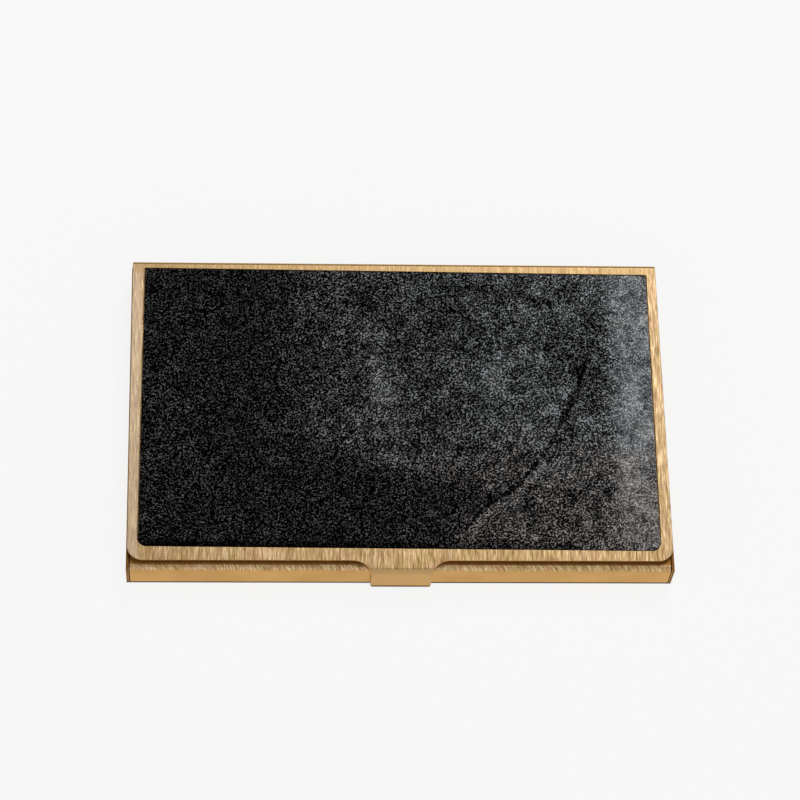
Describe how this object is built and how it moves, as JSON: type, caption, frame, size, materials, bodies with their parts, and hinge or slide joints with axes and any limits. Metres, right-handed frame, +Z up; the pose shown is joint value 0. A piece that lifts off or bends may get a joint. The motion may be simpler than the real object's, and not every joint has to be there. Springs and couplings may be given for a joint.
{
  "type": "card holder",
  "caption": "Slim flip-top metal card holder with a leather-faced lid, a folded front tongue and a lifter inside.",
  "frame": {"origin": "middle of the underside", "axes": "+X along the hinge to the right, +Y from the front tongue to the hinge, +Z up out of the lid"},
  "size_m": [0.095, 0.061, 0.0066],
  "materials": {
    "tray_brass": "brushed",
    "lid_brass": "brushed",
    "lifter_brass": "satin",
    "panel_leather": "grained",
    "adhesive_film": "matte",
    "pin_steel": "satin",
    "spring_steel": "drawn",
    "washer_nylon": "matte"
  },
  "bodies": {
    "tray": {"tray_shell": "tray_brass", "hinge_pin_left": "pin_steel", "hinge_pin_right": "pin_steel", "pin_clip_left": "pin_steel", "pin_clip_right": "pin_steel", "hinge_washer_left": "washer_nylon", "hinge_washer_right": "washer_nylon", "lifter_spring_left": "spring_steel", "lifter_spring_right": "spring_steel"},
    "lid": {"lid_shell": "lid_brass", "lid_inlay": "panel_leather", "inlay_adhesive": "adhesive_film"},
    "lifter": {"card_lifter": "lifter_brass", "lifter_washer_left": "washer_nylon", "lifter_washer_right": "washer_nylon"}
  },
  "joints": [
    {"name": "lid_hinge", "type": "hinge", "parent": "tray", "child": "lid", "pos_m": [0, 0.0285, 0.0034], "axis": [-1, 0, 0], "range_deg": [0, 100]},
    {"name": "lifter_hinge", "type": "hinge", "parent": "tray", "child": "lifter", "pos_m": [0, 0.0285, 0.0034], "axis": [-1, 0, 0], "range_deg": [0, 12], "deforming": ["lifter_spring_left", "lifter_spring_right"]}
  ],
  "couplings": [
    {"joint": "lifter_hinge", "follows": "lid_hinge", "ratio": 0.12}
  ]
}
